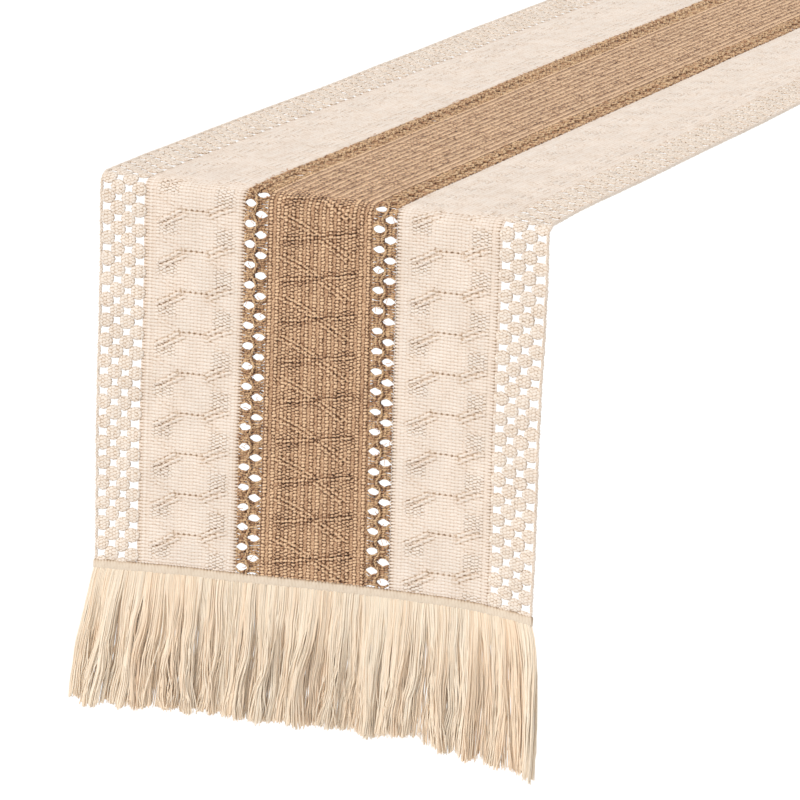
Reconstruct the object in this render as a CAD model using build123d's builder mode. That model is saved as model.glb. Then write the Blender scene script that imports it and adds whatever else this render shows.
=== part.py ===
from build123d import *
import math
import os

# A table runner laid over a table, with both ends hanging down past the table's edges.
# X runs across the runner, Y along it and Z up. The origin is the middle of the face
# that rests on the table, so the cloth on the table lies between Z = 0 and its thickness.

# Overall sizes, in millimetres
runner_width = 305.0
runner_length = 2134.0          # laid flat, over both fringes
cloth_thickness = 2.4

# Widths of the lengthwise bands; the centre band takes what is left
lattice_width = 31.0
panel_width = 70.0
ladder_width = 15.5

# The hanging ends
drop_length = 240.0             # cloth below the bend, down to the header tape
edge_radius = 7.0               # inner radius of the bend over the table's edge
tape_height = 6.5
tape_thickness = 2.8
fringe_length = 84.5
fringe_thickness = 9.0
fringe_flare = 26.0             # distance over which the fringe spreads to its full thickness
fringe_tip_radius = 2.5
hinge_gap = 0.3                 # between the tape and the rounded root of the fringe

# Worked out from the sizes above
half_width = runner_width / 2
centre_half = half_width - lattice_width - panel_width - ladder_width
bend_radius = edge_radius + cloth_thickness / 2
bend_length = bend_radius * math.pi / 2
top_length = runner_length - 2 * (bend_length + drop_length + tape_height + fringe_length)
top_end = top_length / 2
drop_y = top_end + bend_radius
drop_top = -edge_radius
drop_bottom = drop_top - drop_length
tape_bottom = drop_bottom - tape_height

# The cloth folds about this line: turning the hanging end about it up to level
# keeps the cloth's length, as unrolling it from the table's edge does.
fold_y = top_end + bend_radius * math.pi / 4
fold_z = drop_top + bend_radius * math.pi / 4

# The fringe swings about the centre of its rounded root, just under the tape.
root_radius = cloth_thickness / 2
swing_z = tape_bottom - hinge_gap - root_radius

# The seven bands, from the left edge to the right, with the X where each ends
ladder_edge = centre_half + ladder_width
panel_edge = ladder_edge + panel_width
bands = [
    ("left_lattice", -half_width, -panel_edge),
    ("left_panel", -panel_edge, -ladder_edge),
    ("left_ladder", -ladder_edge, -centre_half),
    ("centre_band", -centre_half, centre_half),
    ("right_ladder", centre_half, ladder_edge),
    ("right_panel", ladder_edge, panel_edge),
    ("right_lattice", panel_edge, half_width),
]
ends = [("front", -1), ("back", 1)]

os.makedirs("parts", exist_ok=True)


def save(piece, name):
    piece.part.label = name
    export_step(piece.part, f"parts/{name}.step")


def make_top_band(name, x_start, x_end):
    """One band of the stretch that lies on the table."""
    with BuildPart() as top_band:
        with BuildSketch(Plane.XY):
            with Locations(((x_start + x_end) / 2, 0)):
                Rectangle(x_end - x_start, top_length)
        extrude(amount=cloth_thickness)
    save(top_band, name)


def make_bend(name, x_start, x_end, side):
    """One band's quarter turn over the table's edge."""
    outer = edge_radius + cloth_thickness
    slope = math.sqrt(0.5)
    with BuildPart() as bend:
        with BuildSketch(Plane.YZ.offset(x_start)):
            with BuildLine():
                over = Line((side * top_end, 0), (side * top_end, cloth_thickness))
                outside = ThreePointArc(
                    over @ 1,
                    (side * (top_end + outer * slope), drop_top + outer * slope),
                    (side * (top_end + outer), drop_top),
                )
                under = Line(outside @ 1, (side * (top_end + edge_radius), drop_top))
                ThreePointArc(
                    under @ 1,
                    (side * (top_end + edge_radius * slope), drop_top + edge_radius * slope),
                    over @ 0,
                )
            make_face()
        extrude(amount=x_end - x_start)
    save(bend, name)


def make_drop_band(name, x_start, x_end, side):
    """One band of the cloth that hangs below the bend."""
    with BuildPart() as drop_band:
        with BuildSketch(Plane.XY.offset(drop_bottom)):
            with Locations(((x_start + x_end) / 2, side * drop_y)):
                Rectangle(x_end - x_start, cloth_thickness)
        extrude(amount=drop_length)
    save(drop_band, name)


def make_tape(name, side):
    """The plain header tape that closes the cloth and holds the fringe."""
    with BuildPart() as tape:
        with BuildSketch(Plane.XY.offset(tape_bottom)):
            with Locations((0, side * drop_y)):
                Rectangle(runner_width, tape_thickness)
        extrude(amount=tape_height)
    save(tape, name)


def make_fringe(name, side):
    """The brush fringe: a thin rounded root that spreads to its full thickness."""
    middle = side * drop_y
    tip = tape_bottom - fringe_length
    full = fringe_thickness / 2
    with BuildPart() as fringe:
        with BuildSketch(Plane.YZ):
            with BuildLine():
                root = ThreePointArc(
                    (middle - root_radius, swing_z),
                    (middle, swing_z + root_radius),
                    (middle + root_radius, swing_z),
                )
                Polyline(
                    root @ 1,
                    (middle + full, swing_z - fringe_flare),
                    (middle + full, tip),
                    (middle - full, tip),
                    (middle - full, swing_z - fringe_flare),
                    root @ 0,
                )
            make_face()
        extrude(amount=half_width, both=True)
        fillet(fringe.edges().filter_by(Axis.X).group_by(Axis.Z)[0], fringe_tip_radius)
    save(fringe, name)


for band_name, start, end in bands:
    make_top_band(f"top_{band_name}", start, end)
    for end_name, end_side in ends:
        make_bend(f"{end_name}_bend_{band_name}", start, end, end_side)
        make_drop_band(f"{end_name}_drop_{band_name}", start, end, end_side)

for end_name, end_side in ends:
    make_tape(f"{end_name}_tape", end_side)
    make_fringe(f"{end_name}_fringe", end_side)

print("top length", round(top_length, 3))
print("fold line at Y", round(fold_y, 3), "Z", round(fold_z, 3))
print("swing line at Y", round(drop_y, 3), "Z", round(swing_z, 3))
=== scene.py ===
import math
import bpy
import numpy as np
from mathutils import Matrix, Vector


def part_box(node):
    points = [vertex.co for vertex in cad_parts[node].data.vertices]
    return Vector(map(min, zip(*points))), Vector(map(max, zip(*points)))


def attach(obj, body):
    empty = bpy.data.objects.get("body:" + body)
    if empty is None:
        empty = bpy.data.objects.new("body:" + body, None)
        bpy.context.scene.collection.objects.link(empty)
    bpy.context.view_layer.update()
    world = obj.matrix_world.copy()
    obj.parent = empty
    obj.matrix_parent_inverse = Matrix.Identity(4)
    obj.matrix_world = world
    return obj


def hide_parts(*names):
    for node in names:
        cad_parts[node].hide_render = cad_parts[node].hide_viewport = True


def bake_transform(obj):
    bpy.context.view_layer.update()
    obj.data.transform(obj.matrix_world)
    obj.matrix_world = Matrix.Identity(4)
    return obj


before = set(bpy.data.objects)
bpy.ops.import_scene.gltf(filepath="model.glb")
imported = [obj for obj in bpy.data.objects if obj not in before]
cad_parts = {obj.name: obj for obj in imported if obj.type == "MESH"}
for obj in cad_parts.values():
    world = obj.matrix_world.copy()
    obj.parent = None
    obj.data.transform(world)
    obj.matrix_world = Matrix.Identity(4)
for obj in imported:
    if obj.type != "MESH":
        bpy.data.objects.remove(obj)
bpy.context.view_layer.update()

bpy.ops.object.select_all(action="DESELECT")


# Sizes read from the frame

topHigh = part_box("top_centre_band")[1]
dropLow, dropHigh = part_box("front_drop_centre_band")
tapeLow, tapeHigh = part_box("front_tape")
fringeLow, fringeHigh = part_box("front_fringe")

cloth = {
    "halfWidth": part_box("top_right_lattice")[1][0],
    "topEnd": topHigh[1],                                   # where the bend starts
    "middle": topHigh[2] / 2,                               # height of the cloth's middle face
    "bendRadius": -(dropLow[1] + dropHigh[1]) / 2 - topHigh[1],
    "arcHeight": dropHigh[2],
    "drop": dropHigh[2] - dropLow[2],
    "courses": 888,                                         # weft courses between the two outer hole rows
    "coursesPerHole": 6,
    "edgeRow": 0.0041,                                      # last hole row above the header tape
}
cloth["bendRun"] = cloth["bendRadius"] * math.pi / 2
cloth["hemRun"] = cloth["topEnd"] + cloth["bendRun"] + cloth["drop"]
cloth["course"] = 2 * (cloth["hemRun"] - cloth["edgeRow"]) / cloth["courses"]
cloth["holePitch"] = cloth["course"] * cloth["coursesPerHole"]
cloth["period"] = 2 * cloth["holePitch"]
cloth["middleRow"] = round(cloth["hemRun"] / cloth["course"]) * cloth["course"]

bandEdges = {
    name: (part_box("top_" + name)[0][0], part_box("top_" + name)[1][0])
    for name in ("left_lattice", "left_panel", "left_ladder", "centre_band",
                 "right_ladder", "right_panel", "right_lattice")
}
ends = {"front": -1, "back": 1}                             # which way along Y each end lies


# How the cloth lies

hang = {
    "lean": -0.0014,        # outward sway of the hanging end at its hem, in metres
    "twist": -0.010,
    "bow": 0.0048,
    "curl": 0.012,
    "skew": -0.015,         # the hem sits a little higher at the right
    "hemBow": 0.0135,       # and its corners hang lower than its middle
    "topRipple": 0.0005,
    "waver": 0.0012,        # small waves in the hanging end
    "edgeWander": 0.0007,
}


def wander(x, y, seed):
    # slow smooth noise between -1 and 1
    total = 0.0
    for i in range(1, 5):
        angle = seed * 1.7 + i * 2.399
        total = total + np.sin(x * math.cos(angle) * i + y * math.sin(angle) * i + seed * i * 1.3) / i
    return total / 2.08


def drape(x, along, lift):
    # x across, along measured over the cloth from its front hem, lift off its middle face
    v = along - cloth["hemRun"]
    side = np.where(v < 0, -1.0, 1.0)
    run = np.abs(v)
    across = x / cloth["halfWidth"]
    past = run - cloth["topEnd"]
    angle = np.clip(past / cloth["bendRadius"], 0, math.pi / 2)
    below = np.maximum(past - cloth["bendRun"], 0)
    share = below / cloth["drop"]
    below = below * (1 + hang["skew"] * across * -side - hang["hemBow"] * (1 - across ** 4))
    sway = hang["lean"] + across * -side * hang["twist"] + across ** 2 * hang["bow"]
    sway = (sway + (across * -side) ** 3 * hang["curl"]) * np.minimum(share, 1.4) ** 1.5
    sway = sway + hang["waver"] * share * wander(x * 34 * side, below * 17, 3)
    radius = cloth["bendRadius"] + lift
    lying = np.clip(-past / 0.05, 0, 1)
    ripple = hang["topRipple"] * (1 + wander(x * 14, v * 11, 5)) * lying
    newX = x + hang["edgeWander"] * wander(v * 38, x * 6, 2) * np.abs(across)
    newY = side * (np.minimum(run, cloth["topEnd"]) + radius * np.sin(angle) + sway)
    newZ = cloth["arcHeight"] + radius * np.cos(angle) - below + ripple
    return newX, newY, newZ


def getCoords(obj):
    flat = np.empty(len(obj.data.vertices) * 3, np.float32)
    obj.data.vertices.foreach_get("co", flat)
    return flat.reshape(-1, 3).astype(float)


def setCoords(obj, coords):
    obj.data.vertices.foreach_set("co", np.ascontiguousarray(coords, np.float32).ravel())
    obj.data.update()


# the hollow attribute sets where a point sits on its yarn's colour ramp: a ground tone and random changes of
# tone, with painted shade in gaps and grooves and painted highlights on raised yarn
def setShade(obj, values, name="hollow"):
    layer = obj.data.attributes.get(name) or obj.data.attributes.new(name, "FLOAT", "POINT")
    layer.data.foreach_set("value", np.ascontiguousarray(values, np.float32))


def setFlatUv(obj):
    # UV in metres over the flat cloth, so that the yarn keeps its scale over the bend
    coords = getCoords(obj)
    loops = np.empty(len(obj.data.loops), np.int32)
    obj.data.loops.foreach_get("vertex_index", loops)
    layer = obj.data.uv_layers[0] if obj.data.uv_layers else obj.data.uv_layers.new(name="cloth")
    layer.name = "cloth"
    layer.data.foreach_set("uv", np.ascontiguousarray(coords[loops][:, :2], np.float32).ravel())


def layOverTable(obj):
    coords = getCoords(obj)
    x, y, z = drape(coords[:, 0], coords[:, 1], coords[:, 2])
    setCoords(obj, np.stack([x, y, z], 1))


def nameLast(name):
    obj = bpy.context.object
    obj.name = name
    obj.data.name = name
    return obj


def applyAll(obj):
    bpy.ops.object.select_all(action="DESELECT")
    obj.select_set(True)
    bpy.context.view_layer.objects.active = obj
    for modifier in list(obj.modifiers):
        bpy.ops.object.modifier_apply(modifier=modifier.name)


def addArray(obj, name, count, offset, merge=0):
    array = obj.modifiers.new(name, "ARRAY")
    array.use_relative_offset = False
    array.use_constant_offset = True
    array.count = count
    array.constant_offset_displace = offset
    array.use_merge_vertices = merge > 0
    if merge:
        array.merge_threshold = merge


def flipFaces():
    # the active piece has been mirrored, so its faces are turned outwards again
    bpy.ops.object.mode_set(mode="EDIT")
    bpy.ops.mesh.select_all(action="SELECT")
    bpy.ops.mesh.flip_normals()
    bpy.ops.object.mode_set(mode="OBJECT")


def joinInto(obj, others):
    bpy.ops.object.select_all(action="DESELECT")
    for other in others:
        other.select_set(True)
    obj.select_set(True)
    bpy.context.view_layer.objects.active = obj
    bpy.ops.object.join()


def smooth(obj):
    obj.data.polygons.foreach_set("use_smooth", np.ones(len(obj.data.polygons), bool))
    obj.data.update()


def softStep(t):
    t = np.clip(t, 0, 1)
    return t * t * (3 - 2 * t)


# Yarn materials

def addNode(nodes, kind, **values):
    node = nodes.new(kind)
    for key, value in values.items():
        setattr(node, key, value)
    return node


def srgb(r, g, b):
    def linear(c):
        c = c / 255
        return c / 12.92 if c <= 0.04045 else ((c + 0.055) / 1.055) ** 2.4
    return (linear(r), linear(g), linear(b), 1)


def mathNode(tree, operation, first, second=None, third=None):
    node = tree.nodes.new("ShaderNodeMath")
    node.operation = operation
    for socket, value in zip(node.inputs, (first, second, third)):
        if isinstance(value, bpy.types.NodeSocket):
            tree.links.new(value, socket)
        elif value is not None:
            socket.default_value = value
    return node.outputs["Value"]


def rangeNode(tree, value, low, high, toLow=0.0, toHigh=1.0, smoothly=True):
    node = tree.nodes.new("ShaderNodeMapRange")
    node.interpolation_type = "SMOOTHSTEP" if smoothly else "LINEAR"
    tree.links.new(value, node.inputs["Value"])
    for name, number in (("From Min", low), ("From Max", high), ("To Min", toLow), ("To Max", toHigh)):
        node.inputs[name].default_value = number
    return node.outputs["Result"]


def noiseNode(tree, vector, scale, detail=2.0):
    # scale is (across, along) in features per metre
    stretch = addNode(tree.nodes, "ShaderNodeMapping")
    stretch.inputs["Scale"].default_value = (scale[0], scale[1], 1)
    tree.links.new(vector, stretch.inputs["Vector"])
    noise = addNode(tree.nodes, "ShaderNodeTexNoise", noise_dimensions="2D")
    noise.inputs["Scale"].default_value = 1
    noise.inputs["Detail"].default_value = detail
    noise.inputs["Roughness"].default_value = 0.6
    tree.links.new(stretch.outputs["Vector"], noise.inputs["Vector"])
    return noise.outputs["Fac"]


def knitPattern(tree, flat, knit):
    # how deep a point lies among the stitches: below 0 on a raised bead, up to 1 in a gap; it shapes the
    # bump, and gives painted shade in the gaps and a painted highlight on the beads
    split = addNode(tree.nodes, "ShaderNodeSeparateXYZ")
    tree.links.new(flat, split.inputs["Vector"])
    course, wale, drift = cloth["course"], knit["wale"], knit["wobble"]
    wobble = rangeNode(tree, noiseNode(tree, flat, (150, 60)), 0.3, 0.7, -drift, drift, False)
    jitter = rangeNode(tree, noiseNode(tree, flat, (420, 380), 1), 0.3, 0.7, -drift, drift, False)
    along = mathNode(tree, "ADD", split.outputs["Y"], wobble)
    sideways = mathNode(tree, "ADD", mathNode(tree, "SUBTRACT", split.outputs["X"], knit["origin"]), jitter)
    fromCourse = mathNode(tree, "PINGPONG", along, course / 2)
    gap = rangeNode(tree, fromCourse, 0.20 * course, 0.5 * course)
    # every other column of beads sits half a course higher
    column = mathNode(tree, "ROUND", mathNode(tree, "DIVIDE", sideways, wale / 2))
    odd = mathNode(tree, "PINGPONG", column, 1.0)
    stepped = mathNode(tree, "ADD", mathNode(tree, "MULTIPLY_ADD", odd, course / 2, along), jitter)
    fromStepped = mathNode(tree, "PINGPONG", stepped, course / 2)
    fromColumn = mathNode(tree, "PINGPONG", sideways, wale / 4)
    beside = rangeNode(tree, fromColumn, knit["bead"], 0.25 * wale)
    above = rangeNode(tree, fromStepped, 0.22 * course, 0.5 * course)
    bead = mathNode(tree, "MULTIPLY", mathNode(tree, "SUBTRACT", 1.0, beside),
                    mathNode(tree, "SUBTRACT", 1.0, above))
    speck = mathNode(tree, "MULTIPLY", beside, above)
    faded = mathNode(tree, "MULTIPLY_ADD", odd, -knit["oddFade"], 1.0)
    plain = mathNode(tree, "MULTIPLY_ADD", gap, knit["gapShade"],
                     mathNode(tree, "MULTIPLY", speck, knit["speckShade"]))
    plain = mathNode(tree, "SUBTRACT", plain,
                     mathNode(tree, "MULTIPLY", mathNode(tree, "MULTIPLY", bead, faded), knit["beadHighlight"]))
    bumpy = mathNode(tree, "MULTIPLY_ADD",
                     mathNode(tree, "MAXIMUM", speck, mathNode(tree, "MULTIPLY", above, 0.6)),
                     knit["knotShade"], mathNode(tree, "MULTIPLY", bead, -knit["knotHighlight"]))
    knot = addNode(tree.nodes, "ShaderNodeAttribute", attribute_name="knot", attribute_type="GEOMETRY")
    blend = addNode(tree.nodes, "ShaderNodeMix", data_type="FLOAT")
    tree.links.new(knot.outputs["Fac"], blend.inputs["Factor"])
    tree.links.new(plain, blend.inputs["A"])
    tree.links.new(bumpy, blend.inputs["B"])
    return blend.outputs["Result"]


yarn = {
    "roughness": 0.88,
    "sheenRoughness": 0.55,
    "specular": 0.15,
    "fibreRelief": 0.35,        # how much of the bump is fibres where there are stitches
    "reliefDepth": 0.0006,
    "speckle": 0.07,
    "patches": (0.965, 1.025),  # darkest and lightest of the slow changes in shade
}


def makeYarn(name, colours, fibre, bump, sheen, knit=None, tone=0.86):
    # colours run from the painted highlight on raised yarn to the painted shade of a deep gap; fibre is
    # (across, along) fibres per metre in UV
    material = bpy.data.materials.new(name)
    material.use_nodes = True
    tree = material.node_tree
    nodes = tree.nodes
    links = tree.links
    shader = nodes["Principled BSDF"]
    shader.inputs["Roughness"].default_value = yarn["roughness"]
    shader.inputs["Sheen Weight"].default_value = sheen
    shader.inputs["Sheen Roughness"].default_value = yarn["sheenRoughness"]
    shader.inputs["Specular IOR Level"].default_value = yarn["specular"]
    hollow = addNode(nodes, "ShaderNodeAttribute", attribute_name="hollow", attribute_type="GEOMETRY")
    coords = addNode(nodes, "ShaderNodeUVMap", uv_map="cloth").outputs["UV"]
    depth = hollow.outputs["Fac"]
    fibres = noiseNode(tree, coords, fibre, 3)
    height = fibres
    if knit:
        stitches = knitPattern(tree, coords, knit)
        depth = mathNode(tree, "ADD", depth, stitches)
        fibreHeight = mathNode(tree, "MULTIPLY", fibres, yarn["fibreRelief"])
        height = mathNode(tree, "SUBTRACT", fibreHeight, stitches)
    ramp = addNode(nodes, "ShaderNodeValToRGB")
    ramp.color_ramp.elements[0].color = srgb(*colours[0])
    ramp.color_ramp.elements[1].color = srgb(*colours[-1])
    for i, colour in enumerate(colours[1:-1], 1):
        element = ramp.color_ramp.elements.new(i / (len(colours) - 1))
        element.color = srgb(*colour)
    speckle = rangeNode(tree, fibres, 0.3, 0.7, yarn["speckle"], -yarn["speckle"], False)
    links.new(mathNode(tree, "ADD", depth, speckle), ramp.inputs["Fac"])
    darkest, lightest = yarn["patches"]
    patches = rangeNode(tree, noiseNode(tree, coords, (42, 30), 3), 0.35, 0.65,
                        darkest * tone, lightest * tone, False)
    tint = addNode(nodes, "ShaderNodeMix", data_type="RGBA", blend_type="MULTIPLY")
    tint.inputs["Factor"].default_value = 1
    links.new(ramp.outputs["Color"], tint.inputs["A"])
    links.new(patches, tint.inputs["B"])
    links.new(tint.outputs["Result"], shader.inputs["Base Color"])
    relief = addNode(nodes, "ShaderNodeBump")
    relief.inputs["Strength"].default_value = bump
    relief.inputs["Distance"].default_value = yarn["reliefDepth"]
    links.new(height, relief.inputs["Height"])
    links.new(relief.outputs["Normal"], shader.inputs["Normal"])
    return material


# stitches of each yarn: distances in metres, the rest is how much painted shade a gap or speck takes and how
# much painted highlight a bead takes
creamKnit = {"wale": 0.005, "origin": bandEdges["left_panel"][0], "bead": 0.0004, "wobble": 0.00035,
             "gapShade": 0.32, "speckShade": 0.42, "beadHighlight": 0.05, "oddFade": 0.5,
             "knotShade": 1.15, "knotHighlight": 0.10}
latticeKnit = {"wale": 0.00492, "origin": bandEdges["left_lattice"][0], "bead": 0.0004, "wobble": 0.0004,
               "gapShade": 0.16, "speckShade": 0.50, "beadHighlight": 0.10, "oddFade": 0.2,
               "knotShade": 0.85, "knotHighlight": 0.14}
ladderKnit = {"wale": 0.0052, "origin": bandEdges["left_ladder"][0], "bead": 0.0004, "wobble": 0.0007,
              "gapShade": 0.18, "speckShade": 0.75, "beadHighlight": 0.26, "oddFade": 0.3,
              "knotShade": 0.5, "knotHighlight": 0.1}
brownKnit = {"wale": 0.072 / 14, "origin": bandEdges["centre_band"][0] + 0.036 / 14, "bead": 0.0004,
             "wobble": 0.00040, "gapShade": 0.28, "speckShade": 0.80, "beadHighlight": 0.44, "oddFade": 0.55,
             "knotShade": 0.95, "knotHighlight": 0.34}
creamYarn = makeYarn("creamYarn", [(252, 239, 226), (241, 220, 201), (206, 176, 147), (118, 86, 58)],
                     (900, 2600), 0.6, 0.2, knit=creamKnit)
latticeYarn = makeYarn("latticeYarn", [(253, 240, 226), (245, 225, 205), (215, 187, 159), (128, 96, 68)],
                       (1500, 1500), 0.7, 0.2, knit=latticeKnit)
brownYarn = makeYarn("brownYarn", [(250, 211, 170), (203, 160, 124), (134, 93, 64), (44, 24, 12)],
                     (1500, 1500), 0.8, 0.15, knit=brownKnit, tone=0.84)
ladderYarn = makeYarn("ladderYarn", [(244, 206, 160), (196, 152, 112), (134, 90, 60), (44, 24, 12)],
                      (1500, 1500), 0.7, 0.2, knit=ladderKnit, tone=0.80)
fuzzYarn = makeYarn("fuzzYarn", [(226, 178, 138), (202, 146, 106), (168, 112, 78), (120, 74, 48)],
                    (1500, 1500), 0.5, 0.2)
tapeYarn = makeYarn("tapeYarn", [(242, 224, 202), (226, 204, 179), (192, 164, 135), (128, 100, 74)],
                    (2600, 900), 0.5, 0.2)
# the fringe keeps tone 1.0, lighter than the other yarns: painted light against the shade its thin round
# strands take
fringeYarn = makeYarn("fringeYarn", [(255, 241, 220), (255, 230, 201), (250, 210, 174), (196, 146, 104)],
                      (6000, 60), 0.5, 0.1, tone=1.0)


# Dense bands: the cream panels and the brown centre

panel = {
    "wales": 14,
    "columnsPerWale": 5,
    "weftHeight": 0.00032,
    "beadHeight": 0.00055,
    "ropeHeight": 0.00062,
    "ropeWidth": 0.00085,
    "figureRow": {"left_panel": 0.0211, "right_panel": 0.0146},
    "ropes": [                      # points on each rope, as shares of the width and of the period
        [(0.14, -0.36), (0.26, -0.20), (0.37, -0.02)],
        [(0.20, -0.44), (0.31, -0.27), (0.42, -0.12)],
        [(0.63, -0.03), (0.72, 0.09), (0.82, 0.22)],
        [(0.66, -0.13), (0.78, 0.03), (0.89, 0.14)],
    ],
    "faintRopes": [
        [(0.63, -0.13), (0.72, -0.24), (0.80, -0.34)],
        [(0.14, 0.30), (0.24, 0.16), (0.36, 0.04)],
    ],
    "dots": (0.42, 0.475, 0.53, 0.585, 0.64),
    "dotSize": (0.0010, 0.0009),
    "dotDepth": 0.0006,
    "dotShade": 0.95,
    "outlineDepth": 0.0003,
    "outlineShade": 0.82,
    "faintShade": 0.45,
    "ridgeHighlight": 0.16,
    "clusters": [(0.14, 0.34, -0.64, -0.24), (0.71, 0.90, 0.16, 0.62)],     # bumpy patches
    "latticeGaps": [(0.0022, 0.0010, 0.60), (0.0068, 0.0008, 0.24)],        # place, spread and painted shade
    "combReach": 0.0026,
    "combShade": 0.80,
    "edgeReach": 0.0010,
    "innerSink": 0.0008,
    "outerSink": 0.0006,
    "shadeFade": 0.55,                 # how much fainter the painted shade of the figure is where the cloth lies on the table
    "ground": 0.10,
}

centre = {
    "wales": 14,
    "columnsPerWale": 6,
    "weftHeight": 0.00022,
    "beadHeight": 0.00085,
    "ropeHeight": 0.0008,
    "ropeWidth": 0.00082,
    "figureRow": 0.0137,
    "ropes": [
        [(0.13, 0.40), (0.30, 0.22), (0.46, 0.02)],
        [(0.17, 0.48), (0.34, 0.30), (0.50, 0.06)],
        [(0.54, -0.02), (0.68, -0.22), (0.80, -0.44)],
        [(0.50, -0.08), (0.64, -0.30), (0.75, -0.50)],
        [(0.14, -0.14), (0.32, -0.08), (0.48, -0.01)],
        [(0.52, 0.00), (0.68, 0.07), (0.84, 0.16)],
    ],
    "faintRopes": [
        [(0.52, 0.08), (0.66, 0.14), (0.82, 0.26)],
        [(0.16, -0.24), (0.32, -0.16), (0.46, -0.08)],
    ],
    "dots": (0.47, 0.53),
    "dotSize": (0.0011, 0.0010),
    "dotDepth": 0.0006,
    "dotShade": 0.7,
    "outlineDepth": 0.0003,
    "outlineShade": 0.80,
    "faintShade": 0.50,
    "ridgeHighlight": 0.38,
    "edgeReach": 0.0009,
    "edgeSink": 0.0007,
    "clusters": [(0.13, 0.33, -0.40, 0.16), (0.67, 0.88, -0.22, 0.36)],
    "shadeFade": 0.25,
    "ground": 0.36,
}


weave = {
    "ropeTwist": 0.0027,
    "patchFade": (0.07, 0.14),      # how softly a bumpy patch ends, across and along
    "shadeFadeFrom": 0.010,             # the painted shade starts to fade this far down the bend
    "shadeFadeRun": 0.030,
    "combReach": 0.0009,
    "combPull": 0.0013,             # how far the courses comb out towards the ladder
    "combBack": 0.0004,
    "sink": 0.0002,
}


def ropeRelief(across, along, width, ropes, figure, ropeWidth):
    # ridge height and the sunken stitches beside it, which get painted shade, both 0 to 1, for slanted
    # twisted ropes
    period = cloth["period"]
    ridge = np.zeros_like(across)
    outline = np.zeros_like(across)
    local = ((along - figure) / period + 0.5) % 1 - 0.5
    for route in ropes:
        for (a0, q0), (a1, q1) in zip(route[:-1], route[1:]):
            x0, x1, y0, y1 = a0 * width, a1 * width, q0 * period, q1 * period
            length = math.hypot(x1 - x0, y1 - y0)
            for turn in (-1, 0, 1):
                y = (local + turn) * period
                t = np.clip(((across - x0) * (x1 - x0) + (y - y0) * (y1 - y0)) / length ** 2, 0, 1)
                offset = np.hypot(across - x0 - t * (x1 - x0), y - y0 - t * (y1 - y0))
                twist = 0.5 + 0.5 * np.cos(2 * math.pi * t * length / weave["ropeTwist"])
                ridge = np.maximum(ridge, np.exp(-(offset / ropeWidth) ** 2) * (0.55 + 0.45 * twist))
                beside = np.exp(-((offset - 1.5 * ropeWidth) / (0.55 * ropeWidth)) ** 2)
                outline = np.maximum(outline, beside * (1 - 0.65 * twist))
    return ridge, outline


def clusterMask(across, along, width, clusters, figure):
    # 1 inside the bumpy patches, 0 outside them
    fadeX, fadeY = weave["patchFade"]
    mask = np.zeros_like(across)
    phase = (along - figure) / cloth["period"]
    share = across / width
    for a0, a1, q0, q1 in clusters:
        for turn in (-1, 0, 1):
            local = (phase + 0.5) % 1 - 0.5 + turn
            inside = softStep((share - a0) / fadeX + 0.5) * softStep((a1 - share) / fadeX + 0.5)
            inside = inside * softStep((local - q0) / fadeY + 0.5) * softStep((q1 - local) / fadeY + 0.5)
            mask = np.maximum(mask, inside)
    return mask


def creamRelief(across, along, width, figure):
    # how high the yarn stands, how deep it lies in shade, and where it is bumpy
    dotWide, dotTall = panel["dotSize"]
    wale = width / panel["wales"]
    rib = 0.5 + 0.5 * np.cos(2 * math.pi * along / cloth["course"])
    column = 0.5 + 0.5 * np.cos(2 * math.pi * across / wale)
    grain = wander(across * 2300, along * 1900, 9)
    cloud = wander(across * 260, along * 190, 15)
    ridge, outline = ropeRelief(across, along, width, panel["ropes"], figure, panel["ropeWidth"])
    faint, faintLine = ropeRelief(across, along, width, panel["faintRopes"], figure, panel["ropeWidth"])
    mask = clusterMask(across, along, width, panel["clusters"], figure)
    bead = column ** 1.2 * (0.25 + 0.75 * rib)
    dots = np.zeros_like(across)
    local = ((along - figure) / cloth["period"] + 0.5) % 1 - 0.5
    for share in panel["dots"]:
        spot = np.hypot((across - share * width) / dotWide, local * cloth["period"] / dotTall)
        dots = np.maximum(dots, np.exp(-spot ** 2))
    lift = panel["weftHeight"] * rib ** 0.7
    lift += mask * panel["beadHeight"] * (bead - 0.25)
    lift += (panel["ropeHeight"] * (ridge + 0.5 * faint) - panel["outlineDepth"] * outline
             - panel["dotDepth"] * dots)
    ragged = 0.75 + 0.5 * wander(across * 1500, along * 1300, 19)
    # painted shade in the grooves beside the ropes and in the dots, painted highlight on the ridges
    hollow = panel["ground"] + panel["outlineShade"] * ragged * outline * (1 - ridge)
    hollow += panel["faintShade"] * ragged * faintLine * (1 - faint)
    hollow = np.maximum(hollow, panel["dotShade"] * dots)
    hollow -= panel["ridgeHighlight"] * ridge + panel["ridgeHighlight"] / 2 * faint
    # painted shade in small gaps in two wales beside the lattice, and between the combed loops beside the
    # ladder
    inner = across if figure == panel["figureRow"]["right_panel"] else width - across
    outer = width - inner
    for place, spread, dark in panel["latticeGaps"]:
        hollow += dark * np.exp(-((outer - place) / spread) ** 2) * (1 - rib) ** 1.4
    hollow += panel["combShade"] * np.exp(-(inner / panel["combReach"]) ** 2) * (1 - rib) ** 1.5
    lift -= panel["innerSink"] * np.exp(-(inner / panel["edgeReach"]) ** 2) * (0.3 + 0.7 * (1 - rib))
    lift -= panel["outerSink"] * np.exp(-(outer / panel["edgeReach"]) ** 2)
    hollow += 0.05 * grain + 0.05 * cloud
    return lift + 0.00006 * grain, np.clip(hollow, 0, 1), mask * (1 - ridge)


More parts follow.
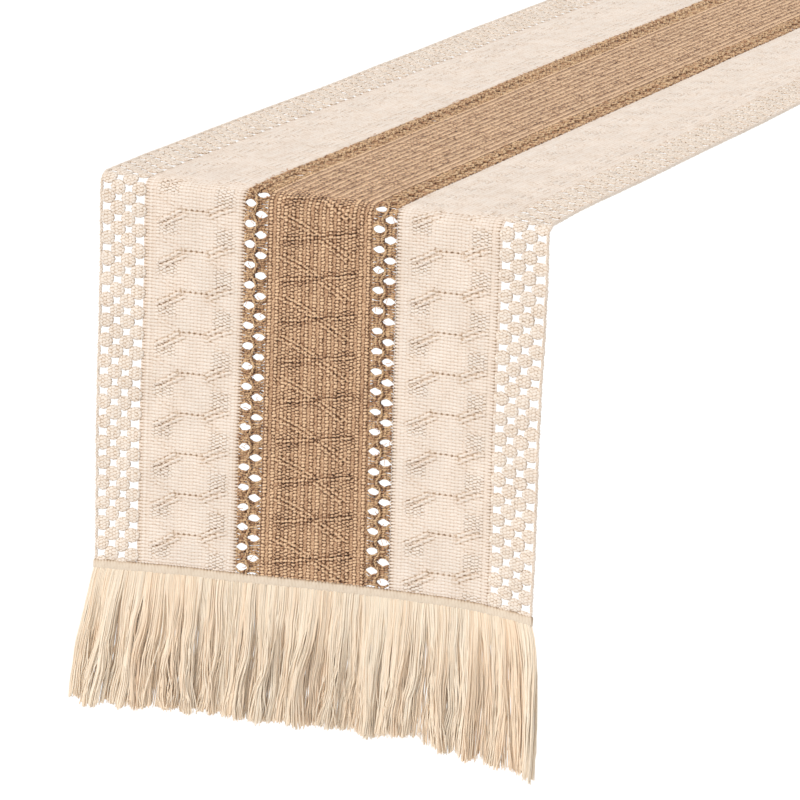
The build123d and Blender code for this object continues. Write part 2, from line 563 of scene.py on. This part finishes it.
def brownRelief(across, along, width, figure):
    # as creamRelief, with columns of beads that step by half a course
    dotWide, dotTall = centre["dotSize"]
    wale = width / centre["wales"]
    rib = 0.5 + 0.5 * np.cos(2 * math.pi * along / cloth["course"])
    column = 0.5 + 0.5 * np.cos(2 * math.pi * (across / wale - 0.5))
    stepped = 0.5 - 0.5 * np.cos(2 * math.pi * along / cloth["course"])
    grain = wander(across * 2500, along * 2100, 11)
    cloud = wander(across * 420, along * 330, 17)
    ridge, outline = ropeRelief(across, along, width, centre["ropes"], figure, centre["ropeWidth"])
    faint, faintLine = ropeRelief(across, along, width, centre["faintRopes"], figure, centre["ropeWidth"])
    mask = clusterMask(across, along, width, centre["clusters"], figure)
    bead = column ** 1.5 * (0.35 + 0.65 * rib)
    bead += (1 - column) ** 1.5 * (0.2 + 0.8 * stepped) * (0.45 + 0.4 * mask)
    lift = centre["weftHeight"] * rib + centre["beadHeight"] * bead
    lift += (centre["ropeHeight"] * (ridge + 0.5 * faint) * (1 - 0.5 * bead)
             - centre["outlineDepth"] * outline)
    ragged = 0.8 + 0.5 * wander(across * 1500, along * 1300, 23)
    # painted shade in the bumpy patches, in the grooves beside the ropes and in the dots; painted highlight
    # on the ridges
    hollow = centre["ground"] + 0.06 * mask
    hollow += (centre["outlineShade"] * ragged * outline * (1 - ridge)
               + centre["faintShade"] * ragged * faintLine * (1 - faint) - centre["ridgeHighlight"] * ridge)
    local = ((along - figure) / cloth["period"] + 0.5) % 1 - 0.5
    for share in centre["dots"]:
        spot = np.hypot((across - share * width) / dotWide, local * cloth["period"] / dotTall)
        hollow += centre["dotShade"] * np.exp(-spot ** 2)
        lift -= centre["dotDepth"] * np.exp(-spot ** 2)
    edge = np.minimum(across, width - across)
    lift -= centre["edgeSink"] * np.exp(-(edge / centre["edgeReach"]) ** 2)
    hollow += 0.13 * grain + 0.10 * cloud
    return lift + 0.00012 * grain, np.clip(hollow, 0, 1), mask * (1 - ridge) * (0.75 + 0.25 * cloud)


def courseRows(end):
    # rows of the grid along the cloth: four to a course past the bend, two on the table
    course = cloth["course"]
    reach = cloth["drop"] + cloth["bendRun"] + 4 * course
    bendRow = math.ceil(reach / course) * course
    hemToBend = np.arange(0, bendRow, course / 4)
    bendToMiddle = np.arange(bendRow, cloth["middleRow"] + course / 4, course / 2)
    if end == "front":
        return np.concatenate([hemToBend, bendToMiddle])
    total = 2 * cloth["hemRun"]
    farBend = math.floor((total - reach) / course) * course
    middleToBend = np.arange(cloth["middleRow"], farBend - course / 8, course / 2)
    bendToHem = np.arange(farBend, total, course / 4)
    return np.concatenate([middleToBend, bendToHem, [total]])


def makeDenseBand(band, end, cut, relief, figure, material, combed):
    start, stop = bandEdges[band]
    rows = courseRows(end)
    columns = cut["wales"] * cut["columnsPerWale"]
    bpy.ops.mesh.primitive_grid_add(x_subdivisions=columns, y_subdivisions=len(rows) - 1, size=1)
    obj = nameLast(end + "_" + band + "_cloth")
    coords = getCoords(obj)
    across = (coords[:, 0] + 0.5) * (stop - start)
    row = np.rint((coords[:, 1] + 0.5) * (len(rows) - 1)).astype(int)
    along = rows[row]
    lift, hollow, knot = relief(across, along, stop - start, figure)
    fromBend = cloth["topEnd"] + weave["shadeFadeFrom"] - np.abs(along - cloth["hemRun"])
    lying = np.clip(fromBend / weave["shadeFadeRun"], 0, 1)
    kept = 1 - cut["shadeFade"] * lying
    hollow = cut["ground"] + (hollow - cut["ground"]) * kept
    knot = knot * kept
    x = start + across
    rib = 0.5 + 0.5 * np.cos(2 * math.pi * along / cloth["course"])
    for edge, sign in combed:
        close = np.exp(-(np.abs(x - edge) / weave["combReach"]) ** 2)
        x = x + sign * close * (weave["combPull"] * rib - weave["combBack"])
    lift = lift - weave["sink"]
    setCoords(obj, np.stack([x, along, lift], 1))
    setFlatUv(obj)
    setShade(obj, hollow)
    setShade(obj, knot, "knot")
    layOverTable(obj)
    smooth(obj)
    obj.data.materials.append(material)
    return obj


# The lattice borders

lattice = {
    "firstColumn": 0.00557,     # from the outer edge to the first column of holes
    "columnPitch": 0.00738,
    "padRadius": 0.00492,
    "padWide": 0.00056,         # how much wider a pad is towards the holes beside it
    "padHeight": 0.00092,
    "chainRadius": 0.00125,
    "padStitch": 0.75,          # how much of the bumpy stitch a pad shows
    "jitter": 0.00060,          # how far pads stray from their places
    "yarnShare": 0.8,           # yarn in the flat area; the rest is holes
}


def makePad():
    bpy.ops.mesh.primitive_uv_sphere_add(segments=12, ring_count=7, radius=1)
    obj = nameLast("pad")
    coords = getCoords(obj)
    x, y, z = coords[:, 0], coords[:, 1], coords[:, 2]
    reach = np.hypot(x, y)
    angle = np.arctan2(y, x)
    radius = lattice["padRadius"] + lattice["padWide"] * np.cos(angle) ** 2
    dome = np.sqrt(np.maximum(1 - reach ** 2, 0))
    ring = np.exp(-((reach - 0.60) / 0.22) ** 2)
    loops = np.exp(-((np.abs(x) - 0.62) / 0.16) ** 2 - (y / 0.42) ** 2)
    twist = np.cos(5 * angle + 3 * reach)
    height = 0.66 * dome ** 0.55 + 0.28 * ring * np.sqrt(dome) + 0.36 * loops + 0.14 * twist * ring
    z = np.sign(z) * height * lattice["padHeight"]
    setCoords(obj, np.stack([x * radius, y * radius, z], 1))
    # painted shade at two small eyes beside the centre, towards the rim and between the twists of the ring;
    # painted highlight on the raised loops
    hollow = 0.10 + 0.34 * np.exp(-((np.abs(x) - 0.30) / 0.13) ** 2 - (y / 0.30) ** 2)
    hollow += 0.14 * softStep((reach - 0.8) / 0.2) + 0.12 * (1 - twist) * ring - 0.30 * loops
    setShade(obj, np.clip(hollow, 0, 1))
    setShade(obj, np.full(len(hollow), lattice["padStitch"]), "knot")
    return obj


def makeLattice(band, end):
    start, stop = bandEdges[band]
    outerLeft = band.startswith("left")
    pitch = cloth["holePitch"]
    holes = round((cloth["hemRun"] - cloth["edgeRow"]) / pitch)
    obj = makePad()
    addArray(obj, "pair", 2, (lattice["columnPitch"], pitch / 2, 0))
    addArray(obj, "columns", 2, (2 * lattice["columnPitch"], 0, 0))
    addArray(obj, "rows", holes + (end == "front"), (0, pitch, 0))
    applyAll(obj)
    coords = getCoords(obj)
    # pads sit half a pitch from the holes of their own column
    coords[:, 0] += lattice["firstColumn"]
    coords[:, 1] += cloth["edgeRow"] - pitch / 2
    if end == "back":
        coords[:, 1] += pitch * (holes + 1)
    if outerLeft:
        coords[:, 0] = start + coords[:, 0]
    else:
        coords[:, 0] = stop - coords[:, 0]
        flipFaces()
    seed = 21 if outerLeft else 22
    coords[:, 0] += lattice["jitter"] * wander(coords[:, 0] * 420, coords[:, 1] * 380, seed)
    coords[:, 1] += lattice["jitter"] * wander(coords[:, 0] * 390, coords[:, 1] * 430, seed + 5)
    rough = wander(coords[:, 0] * 1250, coords[:, 1] * 1180, seed + 9)
    coords[:, 2] *= 1 + 0.18 * wander(coords[:, 0] * 300, coords[:, 1] * 330, seed + 9) + 0.38 * rough
    shade = np.empty(len(coords), np.float32)
    obj.data.attributes["hollow"].data.foreach_get("value", shade)
    # painted highlight where the pads stand thicker and painted shade where they are thinner; cloud is a
    # slow random change of tone
    cloud = wander(coords[:, 0] * 240, coords[:, 1] * 210, seed)
    setShade(obj, np.clip(shade - 0.20 * rough + 0.06 * cloud, 0, 1))
    total = 2 * cloth["hemRun"]
    coords[:, 1] = np.clip(coords[:, 1], -0.001, total + 0.001)
    setCoords(obj, coords)
    chainX = start + lattice["chainRadius"] if outerLeft else stop - lattice["chainRadius"]
    joinInto(obj, [makeChain(chainX, end)])
    obj.name = end + "_" + band + "_openwork"
    obj.data.name = obj.name
    setFlatUv(obj)
    layOverTable(obj)
    smooth(obj)
    obj.data.materials.clear()
    obj.data.materials.append(latticeYarn)
    return obj


def makeChain(x, end):
    # selvedge: a round chain with one link to each course
    course = cloth["course"]
    first = 0 if end == "front" else cloth["middleRow"]
    last = cloth["middleRow"] if end == "front" else 2 * cloth["hemRun"]
    links = int((last - first) / course)
    bpy.ops.mesh.primitive_cylinder_add(vertices=7, radius=1, depth=1, end_fill_type="NOTHING",
                                        rotation=(math.pi / 2, 0, 0))
    obj = nameLast("chain")
    bpy.ops.object.transform_apply(location=False, rotation=True, scale=False)
    bpy.ops.object.mode_set(mode="EDIT")
    bpy.ops.mesh.select_all(action="SELECT")
    bpy.ops.mesh.subdivide(number_cuts=1)
    bpy.ops.object.mode_set(mode="OBJECT")
    coords = getCoords(obj)
    coords[:, 1] *= course
    swell = 0.84 + 0.22 * np.cos(2 * math.pi * coords[:, 1] / course)
    coords[:, 0] *= lattice["chainRadius"] * swell
    coords[:, 2] *= lattice["chainRadius"] * swell * 0.9
    # painted shade at the narrow waists between the links
    setShade(obj, 0.42 * (1.06 - swell) / 0.44)
    setCoords(obj, coords)
    addArray(obj, "links", links, (0, course, 0), merge=0.00002)
    applyAll(obj)
    coords = getCoords(obj)
    coords[:, 0] += x + 0.0002 * np.sin(coords[:, 1] * math.pi / course * 0.5)
    coords[:, 1] += first + course / 2
    setCoords(obj, coords)
    return obj


# The ladders: two staggered columns of round holes with a twisted chain between

ladder = {
    "holeA": 0.0040,            # hole columns from the cream side
    "holeB": 0.0114,
    "chainX": 0.0077,
    "chainSwing": 0.0013,
    "plyRadius": 0.00064,
    "plyOffset": 0.00062,
    "twistPitch": 0.0040,
    "barRadius": 0.00088,
    "barOffsets": (-0.0034, -0.0021, -0.0007, 0.0007, 0.0021, 0.0034),
    "barPoints": 5,
    "chainSteps": 15,           # points of the chain to each hole
    "hairs": 370,
    "hairPoints": 5,
    "hairStep": (0.0006, 0.0011),
    "hairRadius": 0.00020,
}


def addStrand(curve, points, radii):
    spline = curve.splines.new("POLY")
    spline.points.add(len(points) - 1)
    flat = np.ones((len(points), 4), np.float32)
    flat[:, :3] = points
    spline.points.foreach_set("co", flat.ravel())
    spline.points.foreach_set("radius", np.ascontiguousarray(radii, np.float32))


def strandsToMesh(name, curve):
    obj = bpy.data.objects.new(name, curve)
    bpy.context.collection.objects.link(obj)
    bpy.ops.object.select_all(action="DESELECT")
    obj.select_set(True)
    bpy.context.view_layer.objects.active = obj
    bpy.ops.object.convert(target="MESH")
    return bpy.context.object


def newStrandCurve(name):
    curve = bpy.data.curves.new(name, "CURVE")
    curve.dimensions = "3D"
    curve.bevel_depth = 1
    curve.bevel_resolution = 0
    curve.use_fill_caps = True
    return curve


def makeLadder(band, end, seed):
    start, stop = bandEdges[band]
    fromLeft = band.startswith("left")
    width = stop - start
    pitch = cloth["holePitch"]
    rng = np.random.default_rng(seed)
    rows = round((cloth["hemRun"] - cloth["edgeRow"]) / pitch)
    low = 0.0 if end == "front" else cloth["middleRow"]
    high = cloth["middleRow"] if end == "front" else 2 * cloth["hemRun"]
    curve = newStrandCurve("ladderYarns")
    for i in range(-1, rows + 2):
        base = cloth["edgeRow"] + i * pitch + (0 if end == "front" else rows * pitch)
        for x0, x1, hole, shift in ((0.0, ladder["chainX"], ladder["holeA"], pitch / 2),
                                    (ladder["chainX"], width + 0.0006, ladder["holeB"], 0.0)):
            for offset in ladder["barOffsets"]:
                count = ladder["barPoints"]
                xs = np.linspace(x0, x1, count)
                bow = 1 + 0.42 * ((xs - hole) / 0.0036) ** 2
                ys = base + shift + offset * bow + rng.normal(0, 0.00018, count)
                zs = 0.00035 * np.cos((xs - hole) / 0.0036 * 1.5) + rng.normal(0, 0.0002) - 0.0002
                if ys.min() < low - 0.0002 or ys.max() > high + 0.0015:
                    continue
                thick = ladder["barRadius"] * rng.uniform(0.8, 1.1, count)
                addStrand(curve, np.stack([xs, ys, zs], 1), thick)
    ys = np.arange(low, high, pitch / ladder["chainSteps"])
    for turn in (0, math.pi):
        angle = 2 * math.pi * ys / ladder["twistPitch"] + turn
        swing = ladder["chainSwing"] * np.cos(2 * math.pi * (ys - cloth["edgeRow"]) / pitch)
        xs = ladder["chainX"] + swing + ladder["plyOffset"] * np.cos(angle)
        zs = 0.0007 + ladder["plyOffset"] * np.sin(angle)
        addStrand(curve, np.stack([xs, ys, zs], 1), np.full(len(ys), ladder["plyRadius"]))
    hairCurve = newStrandCurve("ladderHairs")
    bits = np.arange(ladder["hairPoints"])
    for i in range(ladder["hairs"]):
        y = rng.uniform(low + 0.002, high - 0.003)
        x = rng.uniform(0.0, width)
        heading = rng.uniform(0, 2 * math.pi)
        step = rng.uniform(*ladder["hairStep"])
        turn = heading + np.cumsum(rng.normal(0, 0.5, len(bits)))
        hairX = np.clip(x + np.cumsum(np.cos(turn)) * step, -0.0005, width + 0.0005)
        hairY = y + np.cumsum(np.sin(turn)) * step
        hairZ = 0.0010 + np.abs(rng.normal(0, 0.0005)) * np.sin(bits / bits[-1] * math.pi)
        addStrand(hairCurve, np.stack([hairX, hairY, hairZ], 1), np.full(len(bits), ladder["hairRadius"]))
    hairs = strandsToMesh("ladderHairs", hairCurve)
    hairs.data.materials.append(fuzzYarn)
    obj = strandsToMesh(end + "_" + band + "_yarns", curve)
    obj.data.materials.append(ladderYarn)
    joinInto(obj, [hairs])
    coords = getCoords(obj)
    chainLine = ladder["chainX"] + ladder["chainSwing"] * np.cos(
        2 * math.pi * (coords[:, 1] - cloth["edgeRow"]) / pitch)
    # painted highlight on the chain's crown, and painted shade on the bars close beside it; yarns that stand
    # further out of the middle face, on either side, are painted lighter
    fromChain = coords[:, 0] - chainLine
    onChain = np.exp(-(fromChain / 0.0011) ** 2) * softStep((coords[:, 2] - 0.0001) / 0.0004)
    besideChain = np.exp(-((np.abs(fromChain) - 0.0016) / 0.0006) ** 2)
    hollow = 0.42 + 0.30 * wander(coords[:, 0] * 900, coords[:, 1] * 700, seed) - np.abs(coords[:, 2]) * 260
    hollow += 0.60 * besideChain * (1 - onChain)
    hollow = hollow * (1 - onChain) + (0.36 - (coords[:, 2] - 0.0008) * 560) * onChain
    setShade(obj, np.clip(hollow, 0, 1))
    coords[:, 0] = start + coords[:, 0] if fromLeft else stop - coords[:, 0]
    setCoords(obj, coords)
    if not fromLeft:
        flipFaces()
    setFlatUv(obj)
    layOverTable(obj)
    smooth(obj)
    return obj


# Header tape

tape = {
    "slices": 420,
    "around": 16,
    "height": tapeHigh[2] - tapeLow[2],
    "thickness": tapeHigh[1] - tapeLow[1],
    "ribs": 3,
    "ribDepth": 0.00022,
    "stitchDepth": 0.00014,
    "stitchPitch": 0.0023,
    "picot": 0.0004,
    "picotPitch": 0.0021,
}


def makeTape(end):
    # a closed strip, wrapped round a rounded section and ribbed along its length
    bpy.ops.mesh.primitive_cylinder_add(vertices=tape["around"], radius=1, depth=1, end_fill_type="NGON",
                                        rotation=(0, math.pi / 2, 0))
    obj = nameLast(end + "_header_tape")
    bpy.ops.object.transform_apply(location=False, rotation=True, scale=False)
    addArray(obj, "slices", tape["slices"], (1, 0, 0), merge=0.001)
    applyAll(obj)
    # the inner end caps of the joined slices are dropped
    bpy.ops.object.mode_set(mode="EDIT")
    bpy.ops.mesh.select_all(action="DESELECT")
    bpy.ops.mesh.select_interior_faces()
    bpy.ops.mesh.delete(type="FACE")
    bpy.ops.object.mode_set(mode="OBJECT")
    coords = getCoords(obj)
    length = coords[:, 0].max() - coords[:, 0].min()
    share = (coords[:, 0] - coords[:, 0].min()) / length
    x = (share * 2 - 1) * cloth["halfWidth"]
    angle = np.arctan2(coords[:, 2], coords[:, 1])
    squareY = np.sign(np.cos(angle)) * np.abs(np.cos(angle)) ** 0.5
    squareZ = np.sign(np.sin(angle)) * np.abs(np.sin(angle)) ** 0.5
    ribs = tape["ribDepth"] * np.cos(squareZ * math.pi * tape["ribs"])
    stitch = tape["stitchDepth"] * np.cos(2 * math.pi * x / tape["stitchPitch"] + 2 * squareZ)
    away = squareY * (tape["thickness"] / 2 - 0.0002) + np.sign(squareY) * (ribs + stitch)
    picot = tape["picot"] * np.cos(2 * math.pi * x / tape["picotPitch"]) * (squareZ > 0.7)
    up = squareZ * tape["height"] / 2 + picot
    total = 2 * cloth["hemRun"]
    along = up - tape["height"] / 2 if end == "front" else total - up + tape["height"] / 2
    setCoords(obj, np.stack([x, along, -away], 1))
    setFlatUv(obj)
    grain = wander(x * 900, squareZ * 3, 13)
    # painted shade: darker towards the edge at the hem and in the grooves of the ribs and stitches; grain is
    # a random change of tone
    hollow = 0.34 + 0.14 * squareZ - ribs * 1300 - stitch * 1500 + 0.16 * grain
    setShade(obj, np.clip(hollow, 0, 1))
    layOverTable(obj)
    bpy.ops.object.mode_set(mode="EDIT")
    bpy.ops.mesh.select_all(action="SELECT")
    bpy.ops.mesh.normals_make_consistent(inside=False)
    bpy.ops.object.mode_set(mode="OBJECT")
    smooth(obj)
    obj.data.materials.append(tapeYarn)
    return obj


# Fringe

fringe = {
    "layers": {                     # strands, points, nearest and furthest layer, how far locks draw them in
        "outer": (1700, 12, 0.1, 1.0, 0.42),
        "inner": (1150, 7, -1.0, 0.1, 0.0),
    },
    "radius": 0.00040,
    "length": fringeHigh[2] - fringeLow[2],
    "lockSpacing": 0.0068,
    "locksPerTuft": 3,
    "tuftPull": 0.10,
    "lockDepth": 0.0014,
    "tuftDepth": 0.0026,
    "rightLonger": 0.07,
    "leftShorter": 0.055,
    "flareOut": 0.013,
    "flareLeft": 0.014,
    "flareRight": 0.021,
    "flareMost": 0.0165,            # furthest that a strand may stand past the cloth's side
    "looseShare": 0.07,             # strands that leave their lock
    "wavyShare": 0.3,
    "looseCurl": (0.0016, 0.0045),
    "wavyCurl": 0.0021,
    "calmCurl": 0.0008,
    "rooted": 0.0012,               # how far a strand reaches up into the tape
    "cutOver": 1.06,                # strand length against the fringe's height
    "tip": 0.8,
    "bendOver": 0.014,              # the strands bend within this height under the tape
    "seed": {"front": 31, "back": 47},
}


def makeFringe(end, layer):
    strands, count, nearDepth, farDepth, lockPull = fringe["layers"][layer]
    lockRng = np.random.default_rng(fringe["seed"][end])
    half = cloth["halfWidth"]
    total = 2 * cloth["hemRun"]
    locks = int(2 * half / fringe["lockSpacing"])
    lockX = np.linspace(-half, half, locks) + lockRng.normal(0, 0.0013, locks)
    tufts = locks // fringe["locksPerTuft"] + 1
    tuftX = np.linspace(-half, half, tufts) + lockRng.normal(0, 0.0028, tufts)
    tuftOf = np.array([int(np.argmin(np.abs(tuftX - x))) for x in lockX])
    lockLength = lockRng.uniform(0.985, 1.012, locks) * lockRng.uniform(0.975, 1.018, tufts)[tuftOf]
    lockLean = lockRng.normal(0, 0.0024, locks) + lockRng.normal(0, 0.0032, tufts)[tuftOf]
    lockOut = lockRng.normal(0, 0.0012, locks) + lockRng.normal(0, 0.0016, tufts)[tuftOf]
    waveTurn = lockRng.uniform(0, 2 * math.pi, locks)
    waveSize = lockRng.uniform(0.0006, 0.0024, locks)
    crimpSize = lockRng.uniform(0.0002, 0.0007, locks)
    share = np.linspace(0, 1, count)
    gather = softStep(share * 1.6)
    swing = 1.0 if layer == "outer" else 0.25
    most = fringe["flareMost"]
    tuftSpacing = fringe["lockSpacing"] * fringe["locksPerTuft"]
    rng = np.random.default_rng(fringe["seed"][end] + 7 * (layer == "inner"))
    curve = newStrandCurve("fringeStrands")
    shades = []
    for i in range(strands):
        x0 = -half + 0.0005 + (2 * half - 0.001) * (i + rng.random()) / strands
        lock = int(np.argmin(np.abs(lockX - x0 - rng.normal(0, 0.0009))))
        tuft = tuftOf[lock]
        depth = rng.uniform(nearDepth, farDepth)
        outward = x0 / half if end == "front" else -x0 / half
        fan = (fringe["flareRight"] if outward > 0 else fringe["flareLeft"]) * abs(outward) ** 3
        loose = rng.random() < fringe["looseShare"]
        wavy = rng.random() < fringe["wavyShare"]
        pull = lockPull * rng.uniform(0.7, 1.2) * (rng.uniform(-0.8, 0.4) if loose else 1)
        inLock = (lockX[lock] - x0) * pull
        inTuft = (tuftX[tuft] - lockX[lock]) * fringe["tuftPull"] * min(1, 2 * lockPull)
        x = x0 + (inLock + inTuft) * gather * (1.1 - 0.65 * share) + np.sign(x0) * fan * share ** 0.8
        x = x + lockLean[lock] * 1.6 * lockPull * share ** 1.5
        x = x + waveSize[lock] * swing * np.sin(share * 8 + waveTurn[lock]) * share ** 0.7
        x = x + crimpSize[lock] * np.sin(share * 21 + waveTurn[lock] * 2 + rng.normal(0, 0.5)) * share ** 0.5
        spread = fringe["wavyCurl"] if wavy else fringe["calmCurl"]
        curl = rng.uniform(*fringe["looseCurl"]) if loose else abs(rng.normal(0, spread))
        x = x + curl * np.sin(share * rng.uniform(4, 9) + rng.uniform(0, 6)) * share
        beyond = np.maximum(np.abs(x) - half, 0)
        x = np.sign(x) * (np.minimum(np.abs(x), half) + most * np.tanh(beyond / most))
        acrossLock = np.clip((x0 - lockX[lock]) / fringe["lockSpacing"], -0.9, 0.9)
        acrossTuft = np.clip((x0 - tuftX[tuft]) / tuftSpacing, -0.6, 0.6)
        swell = fringe["lockDepth"] * math.cos(math.pi * acrossLock)
        swell = swell + fringe["tuftDepth"] * math.cos(2 * math.pi * acrossTuft) + lockOut[lock]
        swell = swell * (1 if layer == "outer" else 0.4)
        lift = depth * (0.0011 + 0.0022 * share) + swell * gather + fringe["flareOut"] * share ** 1.5
        lift = lift + (0.003 * np.sin(share * 5 + rng.uniform(0, 6)) * share if loose else 0)
        reach = fringe["length"] * fringe["cutOver"] * (
            1 + fringe["rightLonger"] * max(outward, 0) ** 2 - fringe["leftShorter"] * max(-outward, 0) ** 2)
        reach = reach * lockLength[lock] * (0.98 + 0.02 * math.cos(math.pi * acrossLock))
        run = reach * rng.uniform(0.978, 1.006) * share - fringe["rooted"]
        along = -tape["height"] - run if end == "front" else total + tape["height"] + run
        px, py, pz = drape(x, along, lift)
        radii = fringe["radius"] * rng.uniform(0.75, 1.15) * (1 + 0.14 * np.sin(share * 11 + x0 * 900))
        radii[-1] *= fringe["tip"]
        addStrand(curve, np.stack([px, py, pz], 1), radii)
        # painted shade: strands that lie further back in their lock and tuft, and in the inner layer, are
        # darker
        shades.append((rng.normal(0.0, 0.05), 0.42 - 0.5 * swell / 0.0050 - 0.26 * depth))
    obj = strandsToMesh(end + "_fringe_" + layer + "_strands", curve)
    perStrand = len(obj.data.vertices) // strands
    own, depth = (np.repeat(column, perStrand) for column in zip(*shades))
    place = np.tile(np.arange(perStrand) / perStrand, strands)
    # painted shade: darker towards the root under the tape, and where a strand lies deep in its lock. Each
    # strand is also darker at its cut end
    hollow = 0.20 - 0.23 * place + own + 0.34 * np.clip(depth, 0, 1.1) * softStep(place * 2.6)
    hollow += 0.20 * (place > 0.96)
    setShade(obj, np.clip(hollow, 0, 1))
    obj.data.uv_layers[0].name = "cloth"
    smooth(obj)
    obj.data.materials.clear()
    obj.data.materials.append(fringeYarn)
    return obj


# Making the pieces: the header tapes are fixed to their bodies, the rest are baked in place over the frame's
# parts, which are hidden

def fastenHalf(obj, band, end):
    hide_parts("top_" + band, end + "_bend_" + band, end + "_drop_" + band)
    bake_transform(obj)


for end in ends:
    headerTape = makeTape(end)
    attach(headerTape, end + "_drop")
    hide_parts(end + "_tape")
    for layer in fringe["layers"]:
        strands = makeFringe(end, layer)
        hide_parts(end + "_fringe")
        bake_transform(strands)
    print("header tape and fringe made:", end)
    for band in ("left_panel", "right_panel"):
        inner = bandEdges[band][1] if band == "left_panel" else bandEdges[band][0]
        sheet = makeDenseBand(band, end, panel, creamRelief, panel["figureRow"][band], creamYarn,
                              [(inner, 1 if band == "left_panel" else -1)])
        fastenHalf(sheet, band, end)
    for i, band in enumerate(("left_ladder", "right_ladder")):
        rungs = makeLadder(band, end, 61 + i + 10 * (end == "back"))
        fastenHalf(rungs, band, end)
    sheet = makeDenseBand("centre_band", end, centre, brownRelief, centre["figureRow"], brownYarn, [])
    fastenHalf(sheet, "centre_band", end)
    print("dense bands made:", end)
    for band in ("left_lattice", "right_lattice"):
        border = makeLattice(band, end)
        fastenHalf(border, band, end)
    print("openwork made:", end)


# Floor, light and camera

studio = {
    "floorSize": 300,
    "floorBelow": 0.42,        # under the fringe, as for a table about 0.76 m high
    "floorColour": (0.97, 0.97, 0.97, 1),
    "floorRoughness": 0.9,
    "keySun": {"from": (-0.7, -0.95, 1.2), "strength": 1.85, "spread": 22},
    "fillSun": {"from": (1.0, 0.8, 1.2), "strength": 0.50, "spread": 40},
    "world": 0.64,
}

floorHeight = fringeLow[2] - studio["floorBelow"]
bpy.ops.mesh.primitive_plane_add(size=studio["floorSize"], location=(0, 0, floorHeight))
floor = nameLast("floor")
floorMaterial = bpy.data.materials.new("floorPaint")
floorMaterial.use_nodes = True
floorShader = floorMaterial.node_tree.nodes["Principled BSDF"]
floorShader.inputs["Base Color"].default_value = studio["floorColour"]
floorShader.inputs["Roughness"].default_value = studio["floorRoughness"]
floor.data.materials.append(floorMaterial)

world = bpy.data.worlds.new("studioWorld")
bpy.context.scene.world = world
world.use_nodes = True
sky = world.node_tree.nodes["Background"]
sky.inputs["Color"].default_value = (1, 1, 1, 1)
sky.inputs["Strength"].default_value = studio["world"]
bpy.context.scene.view_settings.view_transform = "Standard"

for name in ("keySun", "fillSun"):
    bpy.ops.object.light_add(type="SUN", location=studio[name]["from"])
    sun = bpy.context.object
    sun.name = name
    sun.data.energy = studio[name]["strength"]
    sun.data.angle = math.radians(studio[name]["spread"])
    sun.rotation_euler = Vector(studio[name]["from"]).to_track_quat("Z", "Y").to_euler()

camera = {
    "azimuth": 23.42,
    "elevation": 14.34,
    "roll": 1.70,
    "aimX": 0.0536,
    "aimZ": -0.1214,
    "distance": 3.100,
    "lens": 225,
    "sensor": 36,
}
turn = math.radians(camera["azimuth"])
rise = math.radians(camera["elevation"])
back = Vector((math.sin(turn) * math.cos(rise), -math.cos(turn) * math.cos(rise), math.sin(rise)))
aim = Vector((camera["aimX"], -cloth["topEnd"], camera["aimZ"]))
bpy.ops.object.camera_add(location=aim + back * camera["distance"])
eye = bpy.context.object
eye.name = "studioCamera"
eye.rotation_euler = (back.to_track_quat("Z", "Y").to_matrix()
                      @ Matrix.Rotation(math.radians(camera["roll"]), 3, "Z")).to_euler()
eye.data.lens = camera["lens"]
eye.data.sensor_width = camera["sensor"]
bpy.context.scene.camera = eye
print("studio set")
